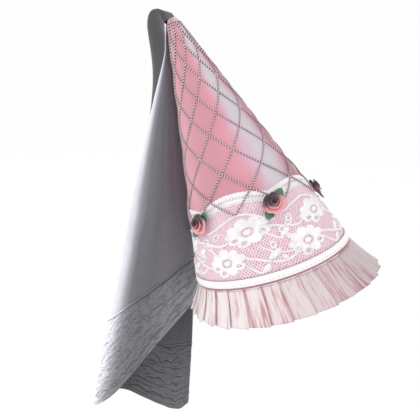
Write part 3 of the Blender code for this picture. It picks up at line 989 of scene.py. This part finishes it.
# fold lines from the near front edge round the back to the far front edge, x, y, z in mm
FOLDS = {
    "near_edge": (
        (1, 133, 266), (1, 131.6, 250), (2, 129, 230), (10, 124, 174),
        (18, 116, 94), (25, 110, 24), (28, 109.6, -76),
    ),
    "near_front": (
        (0, 133.1, 266), (-2, 131.6, 250), (-5, 129, 230), (-8, 123, 174),
        (-10, 116, 84), (-5, 111, 14), (-3, 107, -83),
    ),
    "near_side": (
        (-1.2, 133, 266), (-5, 131.3, 250), (-9, 129, 230), (-20, 127, 170),
        (-33, 128, 76), (-43, 133, -28), (-50, 140, -131),
    ),
    "near_back": (
        (-2.4, 132.8, 266.5), (-7, 131.5, 249), (-11, 131, 230), (-19, 141, 172),
        (-31, 162, 57), (-40, 181, -72), (-44, 198, -210),
    ),
    "near_fold": (
        (-3.5, 133, 267), (-5.5, 132.6, 249), (-6, 134.5, 229), (-9, 148, 178),
        (-15, 184, 42), (-20, 219, -117), (-20, 252, -263),
    ),
    "back_tuck": (
        (-2, 135.6, 268), (1, 136.6, 260), (5, 137, 232), (5, 150, 170),
        (4, 182, 44), (4, 214, -106), (6, 240, -252),
    ),
    "tab_fold": (
        (1.5, 135.8, 269.5), (12, 152, 280.5), (16.5, 167, 265), (24, 166.5, 190),
        (26, 192, 50), (24, 224, -106), (26, 250, -262),
    ),
    "far_back": (
        (3.2, 134.9, 270.5), (15, 145, 279.5), (24, 157, 261), (34, 160, 184),
        (44, 186, 40), (52, 216, -124), (59, 243, -282),
    ),
    "far_side": (
        (4.6, 133.8, 270.5), (18, 140.5, 278), (29, 149, 257), (42, 149, 176),
        (56, 164, 30), (64, 180, -136), (68, 194, -299),
    ),
    "far_front": (
        (5.6, 132.3, 271), (19, 136, 276), (30, 140, 252), (42, 138, 170),
        (53, 143, 30), (58, 149, -136), (59, 158, -291),
    ),
    "far_edge": (
        (6.4, 130.6, 270), (18, 131, 271), (28, 130, 246), (36, 126, 164),
        (42, 124, 40), (45, 125.5, -116), (46, 134.5, -265),
    ),
}

guides = [[Vector(p) * MM for p in row] for row in FOLDS.values()]
veil_lines = []
for step in range((len(guides) - 1) * VEIL_STEPS + 1):
    where_in = step / VEIL_STEPS
    stations = [between(level, where_in) for level in zip(*guides)]
    last = len(stations) - 1
    fine = [between(stations, last * i / LINE_STEPS) for i in range(LINE_STEPS + 1)]
    veil_lines.append((fine, run_along(fine), BORDER_WIDTH * between(BORDER_SHARES, where_in)))


def at_length(line, wanted):
    # the place so many metres down a fold line
    fine, run, _ = line
    low, high = 0, len(run) - 1
    while high - low > 1:
        middle = (low + high) // 2
        if run[middle] < wanted:
            low = middle
        else:
            high = middle
    t = (wanted - run[low]) / max(run[high] - run[low], 1e-9)
    return fine[low].lerp(fine[high], min(max(t, 0), 1))


def hang(work, rows, is_border, crowd, shape):
    # hangs a grid on the fold lines, from the tip to the border or from there to the hem
    columns = len(veil_lines) - 1
    where = {}

    def place(vert, c, row):
        line = veil_lines[c]
        total = line[1][-1]
        low = total - line[2] + BORDER_LAP if is_border else 0.0
        high = total if is_border else total - line[2]
        wanted = low + (high - low) * (row / rows) ** crowd
        where[vert] = (c, wanted, total - wanted)
        return at_length(line, wanted), (c / columns, (total - wanted) / UV_METRES)

    bend_grid(work, columns, rows, place)
    work.normal_update()
    moved = {v: shape(v.co, v.normal, *where[v]) for v in work.verts}
    for vert, at in moved.items():
        vert.co = at
    return where


def veil_rumple(co, normal, c, wanted, up):
    # slack in the hanging cloth: long soft folds that open towards the hem, up is metres above it
    down = wanted / (wanted + up)
    along = c / (len(veil_lines) - 1)
    fold = math.sin(along * 61 + 1.5 * math.sin(down * 3.1)) * 0.7
    fold += math.sin(along * 113 + 4 + down * 2.3) * 0.35
    soft = noise.noise(Vector((along * 14, down * 3.2, 0.4))) * 1.1
    ease = min(1, down * 2.5) * min(1, up / 0.2 + 0.55)
    edge = min(1, along * 18, (1 - along) * 18)
    return co + normal * (fold + soft) * MM * ease * edge


def veil_material(name, pattern, strength, depth, shadow, crest):
    # painted light makes it pearl-white on the near fold, painted shade darkens the tab and far
    # side, grey elsewhere; the pattern multiplies it from shadow in its low places to crest on its
    # high ones
    made, tree, shader = start_material(
        name, Roughness=0.8, Sheen_Weight=0.3, Sheen_Roughness=0.5
    )
    mapped = add(tree, "UVMap", uv_map="UVMap").outputs["UV"]
    axes = add(tree, "SeparateXYZ", {"Vector": mapped})
    place = add(tree, "TexCoord").outputs["Object"]
    grain = add(tree, "TexNoise", {"Vector": place, "Scale": 14.0, "Detail": 2.0})
    patches = {0: grain.outputs["Fac"], 1: 0.03, 2: -0.015}
    shift = add(tree, "Math", patches, operation="MULTIPLY_ADD")
    across = add(tree, "Math", {0: axes.outputs["X"], 1: shift.outputs[0]}, operation="ADD")
    lower = add(tree, "Math", {0: axes.outputs["Y"], 1: -0.17, 2: 0.06}, operation="MULTIPLY_ADD")
    lower = add(tree, "Math", {0: lower.outputs[0], 1: 0.0}, operation="MAXIMUM")
    across = add(tree, "Math", {0: across.outputs[0], 1: lower.outputs[0]}, operation="SUBTRACT")
    # painted across the cloth: grey by the cone, a pearl-white band of painted light on the near
    # fold, painted shade on the tab and the far side; lower shifts the band near the hem
    tint = add(
        tree,
        "ValToRGB",
        {"Fac": across.outputs[0]},
        stops=(
            (0.0, "#7e7f87"),
            (0.12, "#717177"),
            (0.19, "#605e64"),
            (0.25, "#67656b"),
            (0.28, "#8e8c94"),
            (0.315, "#d4d2dc"),
            (0.36, "#f4f2f9"),
            (0.43, "#f2f0f8"),
            (0.465, "#3f3e43"),
            (0.64, "#3c3b40"),
            (0.74, "#56555a"),
            (0.84, "#5c5b60"),
        ),
    )
    height = pattern(tree, mapped)
    low = add(tree, "MapRange", {0: height, 1: 0.15, 2: 0.75, 3: shadow, 4: crest})
    shaded = add(
        tree,
        "Mix",
        {0: 1.0, 6: tint.outputs["Color"], 7: low.outputs[0]},
        data_type="RGBA",
        blend_type="MULTIPLY",
    )
    relief = add(tree, "Bump", {"Height": height, "Strength": strength, "Distance": depth})
    dress(shader, shaded.outputs[2], relief)
    return made


def voile_weave(tree, mapped):
    # slubs of a plain weave, drawn at 2.4 mm so that they show
    threads = add(tree, "Mapping", {"Vector": mapped, "Scale": (60, 250, 1)}).outputs["Vector"]
    slubs = add(tree, "TexNoise", {"Vector": threads, "Scale": 1.0, "Detail": 3.0})
    return slubs.outputs["Fac"]


voile = veil_material("grey_voile_painted_light_and_shade", voile_weave, 0.5, 0.0008, 0.8, 1.16)
work = bmesh.new()
hang(work, VEIL_ROWS, False, 1.35, veil_rumple)
veil = finish("hanging_veil", work, voile, ["veil_cloth"], False, False)
wall(veil, VEIL_WALL, 0)


# Veil border. A wide flounce of machine lace in the veil's colour, joined to the voile by a
# corded seam, with wavy veins worked along it and a row of garlands over the hem. Painted shade
# darkens its grooves and a band under the seam, and a painted highlight lightens the net.
BORDER_ROWS = 120
SEAM_R = 1.3 * MM

# how far along the border each fold line lies in mm, measured halfway up it
halfway = [at_length(line, line[1][-1] - line[2] / 2) for line in veil_lines]
border_run = [run / MM for run in run_along(halfway)]


def vein(c, up):
    # the lace's relief, 0 in its grooves and up to 1 on its net: long wavy veins, broken up by
    # finer ones, a row of garlands over the hem and a band of painted shade under the seam, up is
    # in mm above the hem; the material darkens the low values as painted shade
    run = border_run[c]
    drift = 3.4 * noise.noise(Vector((run / 70, up * 0.014, 0.0)))
    drift += 1.9 * noise.noise(Vector((run / 15, up * 0.06, 3.0)))
    kept = min(max(0.75 + 1.6 * noise.noise(Vector((run / 20, up * 0.1, 5.0))), 0), 1)
    long_vein = kept * math.exp(-((math.sin(up * 0.31 + drift) / 0.27) ** 2))
    fine_drift = 2.4 * noise.noise(Vector((run / 8, up * 0.1, 9.0)))
    fine_vein = math.exp(-((math.sin(up * 0.6 + drift * 1.5 + fine_drift) / 0.4) ** 2))
    broken = min(max(0.45 + 2.6 * noise.noise(Vector((run / 9, up * 0.14, 7.0))), 0), 1)
    garland = math.exp(-(((up - 13 - 6 * abs(math.sin(run / 8))) / 1.6) ** 2))
    shade_under_seam = math.exp(-(((up - veil_lines[c][2] / MM + 3.4) / 1.4) ** 2))
    return 1 - max(long_vein, fine_vein * broken * 0.85, garland * 0.9, shade_under_seam)


def border_relief(co, normal, c, wanted, up):
    at = veil_rumple(co, normal, c, wanted, up)
    up_mm = up / MM
    width = veil_lines[c][2] / MM
    seam = 0.3 * math.exp(-(((up_mm - width + 2) / 1.3) ** 2))
    veins = 0.9 * (vein(c, up_mm) - 0.7) if 4 < up_mm < width - 3 else 0.0
    hem = 0.4 * math.exp(-(((up_mm - 1.5) / 1.5) ** 2))
    return at + normal * (seam + veins + hem) * MM


def lace_veins(tree, mapped):
    # the veins kept on the cloth, and between them a net drawn at 1.6 mm so that it shows; the low
    # values become painted shade in the grooves
    veins = add(tree, "Attribute", attribute_name="vein")
    cells = add(tree, "Mapping", {"Vector": mapped, "Scale": (260, 375, 1)}).outputs["Vector"]
    net = add(tree, "TexNoise", {"Vector": cells, "Scale": 1.0, "Detail": 2.0})
    veins = add(tree, "Math", {0: veins.outputs["Fac"], 1: 0.5, 2: -0.1}, operation="MULTIPLY_ADD")
    both = {0: net.outputs["Fac"], 1: 0.75, 2: veins.outputs[0]}
    return add(tree, "Math", both, operation="MULTIPLY_ADD").outputs[0]


# shadow 0.26 paints shade in the lace's grooves and crest 1.4 a painted highlight on its net
veil_lace = veil_material("grey_lace_painted_light_and_shade", lace_veins, 1.0, 0.0018, 0.26, 1.4)
work = bmesh.new()
vein_layer = work.verts.layers.float.new("vein")
hung = hang(work, BORDER_ROWS, True, 1.0, border_relief)
work.normal_update()
seam_line = {}
for vert, (c, wanted, up) in hung.items():
    vert[vein_layer] = vein(c, up / MM)
    if c not in seam_line or up > seam_line[c][0]:
        seam_line[c] = (up, vert.co.copy(), vert.normal.copy())
border = finish(
    "veil_lace_border", work, veil_lace, ["veil_border"], False, False
)
wall(border, VEIL_WALL, 0)

work = bmesh.new()
seam_places = [seam_line[c][1] for c in sorted(seam_line)]
seam_outs = [seam_line[c][2] for c in sorted(seam_line)]
lay_cord(work, seam_places, seam_outs, SEAM_R, UNTWISTED, 2)
# the voile's painted light and shade across the cloth, made 1.15 to 1.35 times lighter for the cord
seam_cotton = veil_material("grey_seam_cord_painted_light_and_shade", voile_weave, 0.5, 0.0008, 1.15, 1.35)
finish("veil_border_seam", work, seam_cotton, tipped=False)


# Studio. The photograph's camera, a pale floor well under the hanging veil, a broad key light from
# beside the camera and a soft light behind the hat on the veil's side.
FLOOR_Z = -0.62
FLOOR_HALF = 60

camera_data = bpy.data.cameras.new("camera")
camera_data.sensor_width = 36
camera_data.lens = 60
camera_data.clip_start = 0.05
camera_data.clip_end = 60
camera = bpy.data.objects.new("camera", camera_data)
right = Vector((0.411, -0.9116, 0.0))
up = Vector((0.3028, 0.1365, 0.9432))
look = Vector((0.8598, 0.3877, -0.3322))
turned_to = Matrix((right, up, -look)).transposed().to_4x4()
turned_to.translation = Vector((-0.7237, -0.2467, 0.3309))
camera.matrix_world = turned_to
bpy.context.scene.collection.objects.link(camera)
bpy.context.scene.camera = camera

work = bmesh.new()
bmesh.ops.create_grid(work, x_segments=1, y_segments=1, size=FLOOR_HALF)
bmesh.ops.translate(work, verts=work.verts, vec=(0, 0, FLOOR_Z))
floor_mesh = bpy.data.meshes.new("floor")
work.to_mesh(floor_mesh)
work.free()
floor = bpy.data.objects.new("floor", floor_mesh)
bpy.context.scene.collection.objects.link(floor)
paper = start_material("pale_paper", Roughness=0.9, Base_Color=colour("#fdfdfd"))[0]
floor_mesh.materials.append(paper)

world = bpy.data.worlds.new("studio")
world.use_nodes = True
backdrop = world.node_tree.nodes["Background"]
backdrop.inputs["Color"].default_value = (1, 1, 1, 1)
backdrop.inputs["Strength"].default_value = 1.0
bpy.context.scene.world = world
bpy.context.scene.view_settings.view_transform = "Standard"


def softbox(name, place, size, power):
    light = bpy.data.lights.new(name, "AREA")
    light.shape = "DISK"
    light.size = size
    light.energy = power
    made = bpy.data.objects.new(name, light)
    made.location = place
    made.rotation_euler = (-Vector(place)).to_track_quat("-Z", "Y").to_euler()
    bpy.context.scene.collection.objects.link(made)


softbox("key", (-1.7, -0.9, 1.1), 1.0, 4)
softbox("rear", (-0.9, 1.9, 0.9), 1.0, 5)
